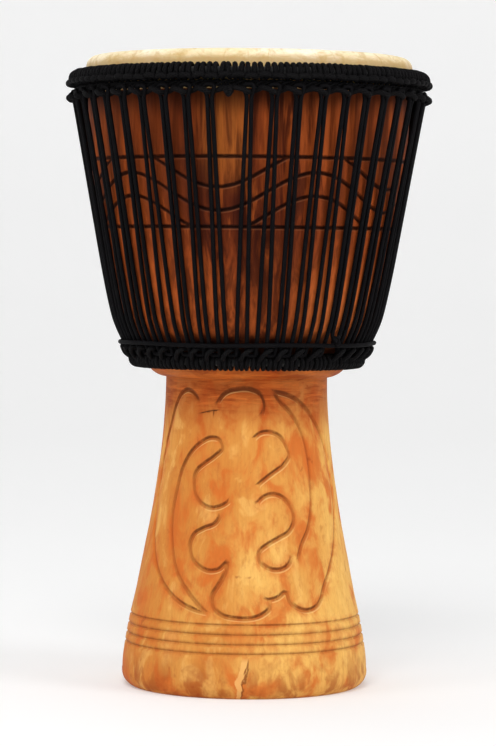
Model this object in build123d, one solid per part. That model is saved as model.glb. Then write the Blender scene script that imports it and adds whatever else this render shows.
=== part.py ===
from build123d import *

import math
import os

# Rope-tuned djembe: a carved goblet shell, a skin head, three steel rings and the cords that pull them.
#
# Frame: millimetres, +Z up, origin at the centre of the foot's base. The front is -Y, and angles are
# counted from the front, positive towards +X.

# Shell
RIM_Z = 598.7             # highest point of the bearing edge
RIM_RADIUS = 154.5        # outside of the bowl at the rim
RIM_ROUND = 8.0           # rounding of the bearing edge
BOWL_WALL = 13.0          # thickness at the rim
THROAT_RADIUS = 50.0      # narrowest part of the hollow
THROAT_Z = 268.0
FOOT_INNER_RADIUS = 98.5  # mouth of the foot
NECK_RADIUS = 77.3
NECK_Z = 295.6            # crease between the neck and the underside of the bowl
FOOT_GROOVES_Z = [68.0, 59.0, 50.0, 41.5]
GROOVE_RADIUS = 1.5

# Head
SKIN_GAP = 0.3
SKIN_THICKNESS = 1.0
FLESH_RING_Z = 566.9
FLESH_RING_SECTION = 2.5  # section radius
FLESH_CLEARANCE = 0.3

# Rings with their cloth wraps and cradle cord
RING_SECTION = 3.0        # section radius of the crown and bottom rings
WRAP_INNER = 3.1
WRAP_OUTER = 3.7
WRAP_LAP = 0.4            # open lap of the cloth strip
CROWN_RING_RADIUS = 164.6
CROWN_RING_Z = 578.5
BOTTOM_RING_RADIUS = 105.6
BOTTOM_RING_Z = 312.6
CRADLE_RADIUS = 2.1       # radius of the cradle cord
HITCH_RADIUS = 5.9        # from the ring's centre to the cord's centre
CROWN_HITCHES = 89
CROWN_HITCH_START = 0.7   # angle of the first hitch, degrees
CROWN_HITCH_WIDTH = 9.4   # two turns side by side
BAR_OUT = 7.7             # crossing bar of a crown hitch, from the ring's centre
BAR_DOWN = 4.3
BAR_RADIUS = 2.3
BAR_HALF_LENGTH = 3.7
RUN_RADIUS = 164.4        # cradle cord's run round the drum, under the crown hitches
RUN_Z = 568.0
RUN_SECTION = 1.6
BOTTOM_HITCHES = 44
BOTTOM_HITCH_START = -2.6
BOTTOM_HITCH_WIDTH = 12.8  # three turns side by side

# Tension rope: radius and height of its centre line, from the bottom turn to the top turn
ROPE_RADIUS = 1.85
BOTTOM_TURN = (112.9, 319.4)
BELLY_LOW = (125.4, 344.5)
BELLY_MID = (130.0, 359.5)
BELLY_HIGH = (137.3, 394.0)
TOP_PINCH = (165.8, 552.0)
TOP_NECK = (167.2, 559.0)
TOP_TURN = (168.4, 566.0)
TURN_RADIUS = 4.1
BEND_RADII = [60.0, 150.0, 400.0]
NECK_RADII = [12.0, 12.0]
TOP_SPREAD = 1.46         # half the angle between the two strands at a top turn
BOTTOM_SPREAD = 2.16      # the same at a bottom turn
PINCH_SPREAD = 0.72       # the same where the strands lie side by side under a top turn
LOOP_GAP = 0.12           # angle left free at each end of a hanging loop

# Angles of the strand pairs: those near the front by hand, the rest evenly round the back
TOP_PAIRS = 44
TOP_RIGHT = [0.0, 8.0, 15.6, 24.0]
TOP_LEFT = [-27.9, -20.1, -12.4]
BOTTOM_RIGHT = [2.1, 11.1, 18.1, 26.2, 35.2, 42.0, 49.6]
BOTTOM_LEFT = [-39.5, -29.6, -22.5, -14.8, -6.8]
TAIL_PAIR = 5             # the bottom place where both ends of the rope are knotted

# Knots and the spare turn
SPARE_TURN = (121.8, 328.6)
SPARE_GAP = 2.6           # angle from the tail knot to each end of the spare turn
TAIL_KNOT = (123.4, 333.2)
TAIL_KNOT_HALF = (5.2, 3.9, 5.0)
STRAND_END = (122.5, 337.6)
CROWN_KNOT_ANGLE = -6.2
CROWN_KNOT = (170.8, 558.6)
CROWN_KNOT_HALF = (4.6, 3.6, 4.3)


def polar(angle, radius, z):
    """Point at an angle from the front, a radius from the axis and a height."""
    turn = math.radians(angle)
    return (radius * math.sin(turn), -radius * math.cos(turn), z)


def revolved(section):
    """Solid of revolution round the drum's axis from a closed section in the XZ plane."""
    return revolve(section, axis=Axis.Z)


def around(solid, angle):
    """The solid turned round the drum's axis."""
    return Rot(0, 0, angle) * solid


def ring(radius, z, section_radius):
    """Plain round ring, lying flat."""
    return Pos(0, 0, z) * Torus(radius, section_radius)


def cord(points, radii, radius):
    """Round cord along straight runs joined by tangent arcs."""
    path = FilletPolyline(*points, radius=radii)
    start = Plane(origin=path @ 0, z_dir=path % 0)
    return sweep(start * Circle(radius), path=path).solid()


def capsule(centre, half_length, radius):
    """Short round bar with domed ends, along X."""
    bar = Rot(0, 90, 0) * Cylinder(radius, 2 * half_length)
    ends = [Pos(side * half_length, 0, 0) * Sphere(radius) for side in (-1, 1)]
    return Pos(*centre) * (bar + ends[0] + ends[1])


def shell():
    """Carved shell: flared foot, neck, belly and bowl outside; bowl, throat and foot's mouth inside."""
    rim_flat = RIM_RADIUS - RIM_ROUND
    bowl_inner = RIM_RADIUS - BOWL_WALL
    crease = (NECK_RADIUS, NECK_Z)
    shelf = (95.6, 307.5)
    belly = (134.6, 394.5)
    wall_top = (RIM_RADIUS, RIM_Z - RIM_ROUND)
    bevel = (bowl_inner + 1.5, RIM_Z - 1.2)
    lip = (bowl_inner, RIM_Z - 5)
    throat = (THROAT_RADIUS, THROAT_Z)
    base_inner = (FOOT_INNER_RADIUS, 0)
    base_outer = (109.5, 0)
    heel = (117.4, 17)
    with BuildSketch(Plane.XZ) as section:
        with BuildLine():
            Line(base_inner, base_outer)
            ThreePointArc(base_outer, (115.4, 5.2), heel)
            Spline(heel, (112.3, 57), (104.6, 92), (95.5, 138), (87.4, 184), (81.1, 230), crease,
                   tangents=[(-0.02, 1), (-0.005, 1)])
            ThreePointArc(crease, (88.6, 299.4), shelf)
            Spline(shelf, (98.4, 318.6), (104.0, 324.5), (111.2, 330.2), (117.2, 336.3),
                   (122.5, 345.6), (127.1, 360.0), belly, tangents=[(0.05, 1), (0.2, 1)])
            ThreePointArc(belly, (147.0, 470), (RIM_RADIUS, 575))
            Line((RIM_RADIUS, 575), wall_top)
            RadiusArc(wall_top, (rim_flat, RIM_Z), -RIM_ROUND)
            Line((rim_flat, RIM_Z), bevel)
            Line(bevel, lip)
            ThreePointArc(lip, (136.0, 480), (120.5, 392))
            Spline((120.5, 392), (104, 345), (80, 315), (59, 295), throat, tangents=[(-0.2, -1), (0, -1)])
            Spline(throat, (61, 190), (82, 95), base_inner, tangents=[(0, -1), (0.12, -1)])
        make_face()
    body = revolved(section.sketch)
    return body - [ring(groove_radius(z), z, GROOVE_RADIUS) for z in FOOT_GROOVES_Z]


def groove_radius(z):
    """Outside of the foot at a turned groove, a little proud so that the groove stays shallow."""
    return 112.5 - 0.24 * (z - 57) + 0.3


def drumhead_skin():
    """Skin: flat head, rolled over the bearing edge, down the wall and folded round the flesh ring."""
    inner = RIM_RADIUS + SKIN_GAP
    outer = inner + SKIN_THICKNESS
    low = RIM_Z + SKIN_GAP
    high = low + SKIN_THICKNESS
    flat = RIM_RADIUS - RIM_ROUND
    wall_z = RIM_Z - RIM_ROUND
    fold_inner = FLESH_RING_SECTION + FLESH_CLEARANCE
    fold_outer = fold_inner + SKIN_THICKNESS
    fold = outer + fold_inner
    z = FLESH_RING_Z
    with BuildSketch(Plane.XZ) as section:
        with BuildLine():
            Line((0, low), (0, high))
            Line((0, high), (flat, high))
            RadiusArc((flat, high), (outer, wall_z), RIM_ROUND + SKIN_GAP + SKIN_THICKNESS)
            Line((outer, wall_z), (outer, z))
            ThreePointArc((outer, z), (fold, z - fold_inner), (fold + fold_inner, z))
            ThreePointArc((fold + fold_inner, z), (fold + fold_inner * 0.7071, z + fold_inner * 0.7071),
                          (fold, z + fold_inner))
            Line((fold, z + fold_inner), (fold, z + fold_outer))
            ThreePointArc((fold, z + fold_outer), (fold + fold_outer * 0.7071, z + fold_outer * 0.7071),
                          (fold + fold_outer, z))
            ThreePointArc((fold + fold_outer, z), (fold, z - fold_outer), (inner, z))
            Line((inner, z), (inner, wall_z))
            RadiusArc((inner, wall_z), (flat, low), -(RIM_ROUND + SKIN_GAP))
            Line((flat, low), (0, low))
        make_face()
    return revolved(section.sketch)


def flesh_ring():
    """Steel ring inside the fold of the skin."""
    fold = RIM_RADIUS + SKIN_GAP + SKIN_THICKNESS + FLESH_RING_SECTION + FLESH_CLEARANCE
    return ring(fold, FLESH_RING_Z, FLESH_RING_SECTION)


def ring_wrap(radius, z):
    """Cloth strip folded round a ring, with its open lap on the inside."""
    with BuildSketch(Plane.XZ) as section:
        with Locations((radius, z)):
            Circle(WRAP_OUTER)
            Circle(WRAP_INNER, mode=Mode.SUBTRACT)
        with Locations((radius - WRAP_OUTER, z)):
            Rectangle(WRAP_OUTER, WRAP_LAP, mode=Mode.SUBTRACT)
    return revolved(section.sketch)


def cord_turns(radius, z, width):
    """Turns of cradle cord lying side by side round a ring, as one rounded band at the front."""
    centre = (0, -radius, z)
    section = Plane(origin=centre, x_dir=(1, 0, 0), z_dir=(0, 1, 0))
    band = section * Pos(0, HITCH_RADIUS) * SlotOverall(width, 2 * CRADLE_RADIUS)
    return revolve(band, axis=Axis(centre, (1, 0, 0)))


def repeated(solid, start, count):
    """The solid at evenly spaced angles all round."""
    return Compound([around(solid, start + 360 / count * i) for i in range(count)])


def crown_hitches():
    """Cow hitches: two turns round the crown ring under one crossing bar."""
    turns = cord_turns(CROWN_RING_RADIUS, CROWN_RING_Z, CROWN_HITCH_WIDTH)
    bar_centre = (0, -CROWN_RING_RADIUS - BAR_OUT, CROWN_RING_Z - BAR_DOWN)
    hitch = turns + capsule(bar_centre, BAR_HALF_LENGTH, BAR_RADIUS)
    return repeated(hitch.solid(), CROWN_HITCH_START, CROWN_HITCHES)


def bottom_hitches():
    """Hitches of three turns round the bottom ring."""
    turns = cord_turns(BOTTOM_RING_RADIUS, BOTTOM_RING_Z, BOTTOM_HITCH_WIDTH)
    return repeated(turns.solid(), BOTTOM_HITCH_START, BOTTOM_HITCHES)


def spread_evenly(first, last, count):
    """Angles between the last of one list and the first of the next, a full turn on."""
    step = (last[0] + 360 - first[-1]) / (count + 1)
    return [first[-1] + step * (i + 1) for i in range(count)]


def pair_angles(right, left):
    """Angles of all the pairs, from the front round to the right."""
    count = TOP_PAIRS - len(right) - len(left)
    return right + spread_evenly(right, left, count) + [angle + 360 for angle in left]


def neighbours(angles, i):
    """Angles half-way to the pair before and to the pair after."""
    before = angles[i - 1] - (360 if i == 0 else 0)
    after = angles[(i + 1) % len(angles)] + (360 if i + 1 == len(angles) else 0)
    return (before + angles[i]) / 2, (angles[i] + after) / 2


def crown_loops(top):
    """Hanging loops: in front of the pair's left strand, between the two, then behind the right one."""
    loops = []
    for i, angle in enumerate(top):
        left, right = neighbours(top, i)
        points = [polar(left + LOOP_GAP, 170.2, 567.2),
                  polar(angle - 2.5, 172.4, 564.5),
                  polar(angle - 0.05, 172.9, 560.2),
                  polar(angle + 0.05, 162.7, 559.8),
                  polar(angle + 3.1, 163.9, 563.0),
                  polar(right - LOOP_GAP, 170.0, 567.2)]
        loops.append(cord(points, [3.0, 2.4, 2.4, 3.0], CRADLE_RADIUS))
    return Compound(loops)


def bottom_loops(bottom):
    """Standing loops of the bottom ring: from the outside of the hitches, through the bottom turn."""
    loops = []
    for i, angle in enumerate(bottom):
        if i == TAIL_PAIR:
            continue
        points = [polar(neighbours(bottom, i)[0], 116.6, 317.4),
                  polar(angle - 3.0, 119.4, 321.4),
                  polar(angle - 0.1, 120.1, 324.6),
                  polar(angle + 0.1, 109.8, 325.0),
                  polar(angle + 2.6, 108.4, 323.2)]
        loops.append(cord(points, [2.4, 2.4, 2.4], CRADLE_RADIUS))
    return Compound(loops)


def strand(bottom_angle, top_angle):
    """Corners of one strand, from just above its bottom turn to the pinch under its top turn."""
    low, high = BOTTOM_TURN[1], TOP_PINCH[1]
    points = []
    for radius, z in (BELLY_LOW, BELLY_MID, BELLY_HIGH, TOP_PINCH):
        along = (z - low) / (high - low)
        points.append(polar(bottom_angle + (top_angle - bottom_angle) * along, radius, z))
    return points


def half_unit(bottom, top, side, knotted):
    """Corners and radii of one strand, up from its bottom turn (or the tail knot) to its top turn."""
    foot = bottom - side * BOTTOM_SPREAD
    points = strand(foot, top + side * PINCH_SPREAD)
    points += [polar(top + side * TOP_SPREAD, *TOP_NECK), polar(top + side * TOP_SPREAD, *TOP_TURN)]
    radii = BEND_RADII + NECK_RADII + [TURN_RADIUS]
    if knotted:
        return [polar(foot, *STRAND_END)] + points, radii
    return [polar(bottom, *BOTTOM_TURN), polar(foot, *BOTTOM_TURN)] + points, [TURN_RADIUS] + radii


def lacing_unit(bottom_before, top, bottom_after, starts, ends):
    """One up-and-down of the tension rope, from one bottom turn's middle to the next."""
    up, radii_up = half_unit(bottom_before, top, -1, starts)
    down, radii_down = half_unit(bottom_after, top, 1, ends)
    return cord(up + down[::-1], radii_up + radii_down[::-1], ROPE_RADIUS)


def tension_rope(top, bottom):
    """The whole rope, laced from the tail knot right round the drum and back to it."""
    units = []
    for step in range(TOP_PAIRS):
        i = (TAIL_PAIR + 1 + step) % TOP_PAIRS
        before = bottom[i - 1] - (360 if i == 0 else 0)
        units.append(lacing_unit(before, top[i], bottom[i], step == 0, step == TOP_PAIRS - 1))
    return units[0].fuse(*units[1:])


def spare_rope_turn(bottom):
    """Spare rope laid once round the strands, above the bottom loops; both ends enter the knot."""
    radius, z = SPARE_TURN
    with BuildSketch(Plane.XZ) as section:
        with Locations((radius, z)):
            Circle(ROPE_RADIUS)
    turn = revolve(section.sketch, axis=Axis.Z, revolution_arc=360 - 2 * SPARE_GAP)
    return around(turn, bottom[TAIL_PAIR] + SPARE_GAP - 90)


def knot(angle, place, half):
    """Rounded lump of a pulled-tight knot."""
    size = max(half)
    lump = scale(Sphere(size), by=tuple(side / size for side in half))
    return around(Pos(0, -place[0], place[1]) * lump, angle)


def main():
    os.makedirs("parts", exist_ok=True)
    top = pair_angles(TOP_RIGHT, TOP_LEFT)
    bottom = pair_angles(BOTTOM_RIGHT, BOTTOM_LEFT)
    nodes = {
        "shell": shell(),
        "drumhead_skin": drumhead_skin(),
        "flesh_ring": flesh_ring(),
        "crown_ring": ring(CROWN_RING_RADIUS, CROWN_RING_Z, RING_SECTION),
        "crown_ring_wrap": ring_wrap(CROWN_RING_RADIUS, CROWN_RING_Z),
        "crown_hitches": crown_hitches(),
        "crown_cord_run": ring(RUN_RADIUS, RUN_Z, RUN_SECTION),
        "crown_loops": crown_loops(top),
        "crown_knot": knot(CROWN_KNOT_ANGLE, CROWN_KNOT, CROWN_KNOT_HALF),
        "bottom_ring": ring(BOTTOM_RING_RADIUS, BOTTOM_RING_Z, RING_SECTION),
        "bottom_ring_wrap": ring_wrap(BOTTOM_RING_RADIUS, BOTTOM_RING_Z),
        "bottom_hitches": bottom_hitches(),
        "bottom_loops": bottom_loops(bottom),
        "tension_rope": tension_rope(top, bottom),
        "spare_rope_turn": spare_rope_turn(bottom),
        "tail_knot": knot(bottom[TAIL_PAIR], TAIL_KNOT, TAIL_KNOT_HALF),
    }
    for name, part in nodes.items():
        export_step(part, f"parts/{name}.step")


main()
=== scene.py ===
"""Looks of the rope-tuned djembe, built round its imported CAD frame.

Lengths are written in millimetres and turned into metres when a mesh is made. Angles are in degrees,
counted from the front (-Y), positive towards +X. +Z is up and the foot stands on Z = 0.
"""

import math
import random

import bpy
import numpy as np
from mathutils import Euler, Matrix, Quaternion, Vector, noise
from mathutils.geometry import delaunay_2d_cdt


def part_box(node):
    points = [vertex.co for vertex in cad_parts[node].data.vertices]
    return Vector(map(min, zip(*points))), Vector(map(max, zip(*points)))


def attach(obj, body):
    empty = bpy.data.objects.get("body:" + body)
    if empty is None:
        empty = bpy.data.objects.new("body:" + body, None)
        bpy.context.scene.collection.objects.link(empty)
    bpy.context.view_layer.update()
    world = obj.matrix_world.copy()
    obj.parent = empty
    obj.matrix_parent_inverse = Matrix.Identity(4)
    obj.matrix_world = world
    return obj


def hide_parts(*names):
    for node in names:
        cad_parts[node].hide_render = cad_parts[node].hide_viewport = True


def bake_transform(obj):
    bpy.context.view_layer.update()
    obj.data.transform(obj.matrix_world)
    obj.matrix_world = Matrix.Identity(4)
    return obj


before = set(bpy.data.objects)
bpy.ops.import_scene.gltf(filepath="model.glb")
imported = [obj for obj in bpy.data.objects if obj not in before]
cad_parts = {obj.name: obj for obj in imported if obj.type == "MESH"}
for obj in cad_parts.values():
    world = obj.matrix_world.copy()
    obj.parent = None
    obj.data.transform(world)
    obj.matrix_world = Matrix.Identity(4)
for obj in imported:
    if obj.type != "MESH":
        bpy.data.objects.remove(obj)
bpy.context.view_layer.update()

MM = 0.001
STEPS_ROUND = 240          # vertices in one plain row round the shell

# Shell, as in the CAD source
RIM_Z = 598.7
RIM_RADIUS = 154.5
RIM_ROUND = 8.0
WALL_TOP_Z = RIM_Z - RIM_ROUND
BOWL_INNER = 141.5
CREASE = (77.3, 295.6)
SHELF = (95.6, 307.5)
BELLY = (134.6, 394.5)
HEEL = (117.4, 17.0)
FOOT_INNER = 98.5
FOOT_OUTER = 109.5
THROAT = (50.0, 268.0)
FOOT_GROOVES_Z = [68.0, 59.0, 50.0, 41.5]
FOOT_BAND = (71.0, 290.0)  # heights between which the foot is carved
BOWL_BAND = (431.0, 507.0)

# Carving of the bowl: two lines round it, and three waves between them
BOWL_LINES_Z = [437.0, 501.0]
WAVE_Z = 469.5
WAVE_HEIGHT = 17.5
WAVE_PEAK = 25.0           # angle of a crest
WAVES_ROUND = 5
WAVE_OFFSETS = [-21.4, 0.0, 21.4]

# Carving of the foot: a lobed body between two crescents, as (angle, height) along each stroke
FOOT_STROKES = [
    [(-35, 274), (-40, 281.5), (-45.5, 284), (-52, 281), (-58, 271), (-65, 250), (-71, 226), (-73, 195),
     (-71, 163), (-64, 134), (-54, 111), (-44, 96), (-33, 85), (-20, 79)],
    [(-20, 79), (-30, 95), (-40, 115), (-47, 142), (-50, 166), (-49, 188), (-46, 210), (-40, 225),
     (-31, 236), (-24, 240), (-18, 238), (-16, 231), (-21, 223), (-28, 216), (-34, 208), (-35, 197),
     (-33, 187), (-29, 180), (-22, 175), (-15, 177), (-10, 182)],
    [(-15, 169), (-18, 161), (-25, 156), (-31, 150), (-33, 141), (-31, 129), (-26, 121), (-19, 117),
     (-14, 119), (-10, 125), (-11, 114), (-14, 104), (-17, 94), (-16, 84), (-11, 77), (-4, 74.5),
     (3, 74.5), (9, 78), (13, 85), (12, 91)],
    [(12, 91), (17, 93), (22, 98), (24, 89), (28, 83), (34, 80.5), (40, 84), (44, 91), (46, 98),
     (52, 112), (61, 134), (69, 164), (72, 197), (69, 224), (62, 243), (53, 258), (43, 271),
     (31, 280), (19, 283.5)],
    [(19, 283.5), (23, 276), (32, 264), (39.5, 250), (44, 234), (46, 217), (46, 196), (44, 172),
     (40, 155), (34, 140), (31, 127)],
    [(-20, 273), (-15, 282), (-6, 286), (4, 285.5), (10, 281), (12.5, 272), (11, 263)],
    [(6, 241), (10, 245), (16, 246), (24, 241), (28, 233), (30, 224), (26, 216), (19, 209), (13, 203),
     (8, 197)],
    [(8, 181), (13, 187), (19, 188), (26, 182), (30, 172), (30, 162), (26, 153), (20, 148), (13, 142),
     (8, 135), (8, 127), (12, 121), (18, 118.5), (24, 122), (27, 130)],
]
KNIFE_MARKS = [[(-34.5, 263), (-27, 265.5), (-19, 267)], [(-23, 268), (-23.2, 260)]]
CRACK_X = 0.0035           # old crack at the front of the base, in metres

# Rings and cradle cords: places as in the CAD source, cord a little thicker for its braid
CRADLE_RADIUS = 2.1
HITCH_RADIUS = 5.9
CROWN_HITCHES = 89
CROWN_HITCH_START = 0.7
CROWN_TURNS = [-2.85, 2.85]  # offsets of the cord's turns along the ring
CROWN_CORD_RADIUS = 2.45
BAR_DROP = -0.8            # crossing bars, lower than their plain place on the ring
BOTTOM_HITCHES = 44
BOTTOM_HITCH_START = -2.6
BOTTOM_TURNS = [-4.7, 0.0, 4.7]
BOTTOM_CORD_RADIUS = 2.25

CROWN_BAR = [(-5.0, 4.6, -4.4), (-4.7, 7.4, -3.9), (-1.8, 8.5, -3.3), (1.8, 8.5, -3.3), (4.7, 7.4, -3.9),
             (5.0, 4.6, -4.4)]  # crossing bar: along the ring, out of it and up from its centre
RUN_TWIST = (0.4, 2.4)     # twist of the run's strands, in radius and in height
RUN_DROP = 1.2

# Tension rope: radius and height of its line from the bottom turn to the top turn
ROPE_RADIUS = 1.85
ROPE_BODY = 2.05           # the braid stands a little proud of its hard core
BOTTOM_TURN = (112.9, 319.4)
STRAND_FOOT = (115.9, 325.4)
BELLY_LINE = [(125.4, 344.5), (130.0, 359.5), (137.3, 394.0)]
WALL_LINE = [(144.2, 432.0), (158.9, 514.0), (165.0, 547.5)]
PINCH = (166.6, 555.5)
TOP_TURN_LINE = [(167.6, 560.8), (168.4, 566.0)]
TOP_SPREAD = 1.46
BOTTOM_SPREAD = 2.16
PINCH_SPREAD = 0.72
PAIRS = 44
TOP_RIGHT = [0.0, 8.0, 15.6, 24.0]
TOP_LEFT = [-27.9, -20.1, -12.4]
BOTTOM_RIGHT = [2.1, 11.1, 18.1, 26.2, 35.2, 42.0, 49.6]
BOTTOM_LEFT = [-39.5, -29.6, -22.5, -14.8, -6.8]
TAIL_PAIR = 5
STRAND_END = (122.5, 337.6)
SPARE_TURN = (121.8, 328.6)
SPARE_GAP = 2.6
TAIL_KNOT = (123.4, 333.2)
TAIL_KNOT_HALF = (5.2, 3.9, 5.0)
CROWN_KNOT_ANGLE = -6.2
CROWN_KNOT = (170.8, 558.6)
CROWN_KNOT_HALF = (4.6, 3.6, 4.3)

# Head
SKIN_THICKNESS = 1.0
SKIN_GAP = 0.3
FLESH_RING_Z = 566.9
FOLD_RADIUS = 2.8          # inside of the fold, round the flesh ring
STEPS_ROUND_SKIN = 264
PLEAT_DEPTH = 0.18         # gathers of the skin below the rim
HEAD_WAVE = 0.1

# Turned grooves and cuts
GROOVE_HALF_WIDTH = 1.7
GROOVE_DEPTH = 1.4
FOOT_UNROLL, BOWL_UNROLL = 92.0, 148.0  # radii at which the carved bands are unrolled
OUTSIDE_WAVE, INSIDE_WAVE = 0.3, 0.8    # unevenness that the tools left
SHOULDER_WIDTH = 5.0       # scooped edges of the carved strokes
GRIME_WIDTH = 6.5
UPWARD = np.array([-0.3, 0.95])  # the way that a cut's shaded wall lies from its middle

# Studio, in metres and watts
WORLD_STRENGTH = 0.42
PAPER_GLOW = (0.2, 0.33)   # near the drum, and far behind it
STUDIO_PROFILE = [(0.01, 0), (2.0, 0), (4.6, 0), (5.4, 0.05), (6.1, 0.22), (6.6, 0.55), (6.9, 1.05),
                  (7.0, 1.8), (7.0, 5.0)]
LIGHTS = [
    ("key", (-0.4, -2.4, 2.8), 1.5, 52.0),
    ("right", (2.6, -1.6, 1.6), 1.3, 34.0),
    ("left", (-2.6, -1.6, 1.6), 1.3, 20.0),
    ("top", (-0.6, 1.0, 2.6), 1.6, 6.0),
]
LIGHTS_AIM = (0, 0, 0.32)
CAMERA_PLACE = (0.0012, -2.88, 0.411)
CAMERA_LENS = 144.8        # on a sensor 36 mm wide
CAMERA_TIP = 2.23          # degrees down
CAMERA_ROLL = 0.5

draw = random.Random(7)


# ---------------------------------------------------------------- places and curves

def polar(angle, radius, z):
    """Point at an angle from the front, a radius from the axis and a height."""
    turn = math.radians(angle)
    return np.array([radius * math.sin(turn), -radius * math.cos(turn), z])


def turned(points, angle):
    """Points turned round the drum's axis."""
    c, s = math.cos(math.radians(angle)), math.sin(math.radians(angle))
    return np.asarray(points) @ np.array([[c, s, 0], [-s, c, 0], [0, 0, 1]])


def distances(points):
    """Distance along a line of points, at each of them."""
    return np.concatenate([[0], np.cumsum(np.linalg.norm(np.diff(points, axis=0), axis=1))])


def arc(a, b, c, step):
    """Points from a to c on the circle through a, b and c, about a step apart."""
    a, b, c = complex(*a), complex(*b), complex(*c)
    w = (c - a) / (b - a)
    centre = a + (b - a) * (w - abs(w) ** 2) / (w - w.conjugate())
    sweep = np.unwrap(np.angle([(p - centre) for p in (a, b, c)]))
    count = max(3, int(abs(a - centre) * abs(sweep[2] - sweep[0]) / step) + 1)
    turn = np.linspace(0, sweep[2] - sweep[0], count)
    on = centre + (a - centre) * np.exp(1j * turn)
    return np.stack([on.real, on.imag], 1)


def line(a, b, step):
    """Points from a to b, about a step apart."""
    count = max(2, int(math.dist(a, b) / step) + 1)
    return np.linspace(a, b, count)


def spline(points, step, start=None, end=None):
    """Smooth curve through the points, about a step apart; start and end are directions."""
    p = np.array(points, float)
    t = distances(p)
    slope = np.gradient(p, t, axis=0, edge_order=2)
    if start is not None:
        slope[0] = np.array(start) / np.linalg.norm(start)
    if end is not None:
        slope[-1] = np.array(end) / np.linalg.norm(end)
    at = np.linspace(0, t[-1], max(3, int(t[-1] / step) + 1))
    i = np.clip(np.searchsorted(t, at, side="right") - 1, 0, len(t) - 2)
    length = (t[i + 1] - t[i])[:, None]
    u = (at - t[i])[:, None] / length
    return ((2 * u**3 - 3 * u**2 + 1) * p[i] + (u**3 - 2 * u**2 + u) * length * slope[i]
            + (3 * u**2 - 2 * u**3) * p[i + 1] + (u**3 - u**2) * length * slope[i + 1])


def placed(name, data):
    """A new object in the scene."""
    made = bpy.data.objects.new(name, data)
    bpy.context.scene.collection.objects.link(made)
    return made


def nurbs(routes, resolution, cyclic=False):
    """Points along a smooth NURBS line for each route; the routes all have the same number of points."""
    curve = bpy.data.curves.new("route", "CURVE")
    curve.dimensions = "3D"
    for route in routes:
        s = curve.splines.new("NURBS")
        s.points.add(len(route) - 1)
        s.points.foreach_set("co", np.c_[np.array(route), np.ones(len(route))].ravel())
        s.order_u = 3
        s.use_endpoint_u = not cyclic
        s.use_cyclic_u = cyclic
        s.resolution_u = resolution
    holder = placed("route", curve)
    mesh = bpy.data.meshes.new_from_object(holder)
    points = np.zeros(len(mesh.vertices) * 3)
    mesh.vertices.foreach_get("co", points)
    bpy.data.objects.remove(holder)
    bpy.data.curves.remove(curve)
    bpy.data.meshes.remove(mesh)
    return points.reshape(len(routes), -1, 3)


# ---------------------------------------------------------------- meshes

class Build:
    """Collects vertices, faces and texture places, in millimetres, and makes one mesh object of them."""

    def __init__(self):
        self.points = []
        self.faces = []
        self.places = []
        self.count = 0

    def add(self, points, faces, places=None):
        self.points.append(np.asarray(points, float))
        self.faces += [tuple(int(i) + self.count for i in f) for f in faces]
        self.places += places or []
        self.count += len(points)

    def join(self, first, second, count):
        """Quads between two closed rows of some count, given by their first vertices."""
        steps = np.arange(count)
        after = np.roll(steps, -1)
        self.faces += np.c_[first + steps, first + after, second + after, second + steps].tolist()

    def make(self, name, material, values=None, sharp=()):
        mesh = bpy.data.meshes.new(name)
        mesh.from_pydata((np.concatenate(self.points) * MM).tolist(), [], self.faces)
        mesh.update()
        mesh.polygons.foreach_set("use_smooth", [True] * len(mesh.polygons))
        if self.places:
            layer = mesh.uv_layers.new(name="along")
            layer.data.foreach_set("uv", np.array(self.places).ravel())
        for key, numbers in (values or {}).items():
            mesh.attributes.new(key, "FLOAT", "POINT").data.foreach_set("value", numbers.astype(np.float32))
        for e in mesh.edges:
            if e.vertices[0] in sharp and e.vertices[1] in sharp:
                e.use_edge_sharp = True
        mesh.materials.append(material)
        return placed(name, mesh)


def frames_along(path, closed):
    """Two cross directions at each point of a path, carried along it without twist."""
    ahead = np.roll(path, -1, axis=0) - np.roll(path, 1, axis=0)
    if not closed:
        ahead[0] = path[1] - path[0]
        ahead[-1] = path[-1] - path[-2]
    ahead /= np.linalg.norm(ahead, axis=1)[:, None]
    side = np.cross(ahead[0], (0.31, 0.17, 0.93))
    sides = []
    for direction in ahead:
        side = side - direction * (side @ direction)
        side = side / np.linalg.norm(side)
        sides.append(side)
    sides = np.array(sides)
    return sides, np.cross(ahead, sides)


def tube(path, radius, sides=8, closed=False):
    """Vertices, faces and texture places of a round cord along a path, with domed ends if it is open."""
    path = np.asarray(path, float)
    if not closed:
        first, last = path[0] - path[1], path[-1] - path[-2]
        first, last = first / np.linalg.norm(first), last / np.linalg.norm(last)
        path = np.vstack([path[0] + first * radius * 0.7, path[0] + first * radius * 0.45, path,
                          path[-1] + last * radius * 0.45, path[-1] + last * radius * 0.7])
    a, b = frames_along(path, closed)
    turn = np.arange(sides) * 2 * math.pi / sides
    size = np.full(len(path), float(radius))
    if not closed:
        size[[0, 1, -2, -1]] *= [0.45, 0.85, 0.85, 0.45]
    rings = path[:, None] + size[:, None, None] * (
        np.cos(turn)[None, :, None] * a[:, None] + np.sin(turn)[None, :, None] * b[:, None])
    count = len(path)
    length = distances(path)
    if closed:
        length = np.append(length, length[-1] + np.linalg.norm(path[0] - path[-1]))
    faces, places = [], []
    for i in range(count if closed else count - 1):
        j = (i + 1) % count
        for k in range(sides):
            m = (k + 1) % sides
            faces.append((i * sides + k, i * sides + m, j * sides + m, j * sides + k))
            u, v = k / sides, (k + 1) / sides
            places += [(u, length[i]), (v, length[i]), (v, length[i + 1]), (u, length[i + 1])]
    if not closed:
        for i, order in ((0, -1), (count - 1, 1)):
            faces.append(tuple(i * sides + k for k in range(sides))[::order])
            places += [(k / sides, length[i]) for k in range(sides)][::order]
    return rings.reshape(-1, 3), faces, places


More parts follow.
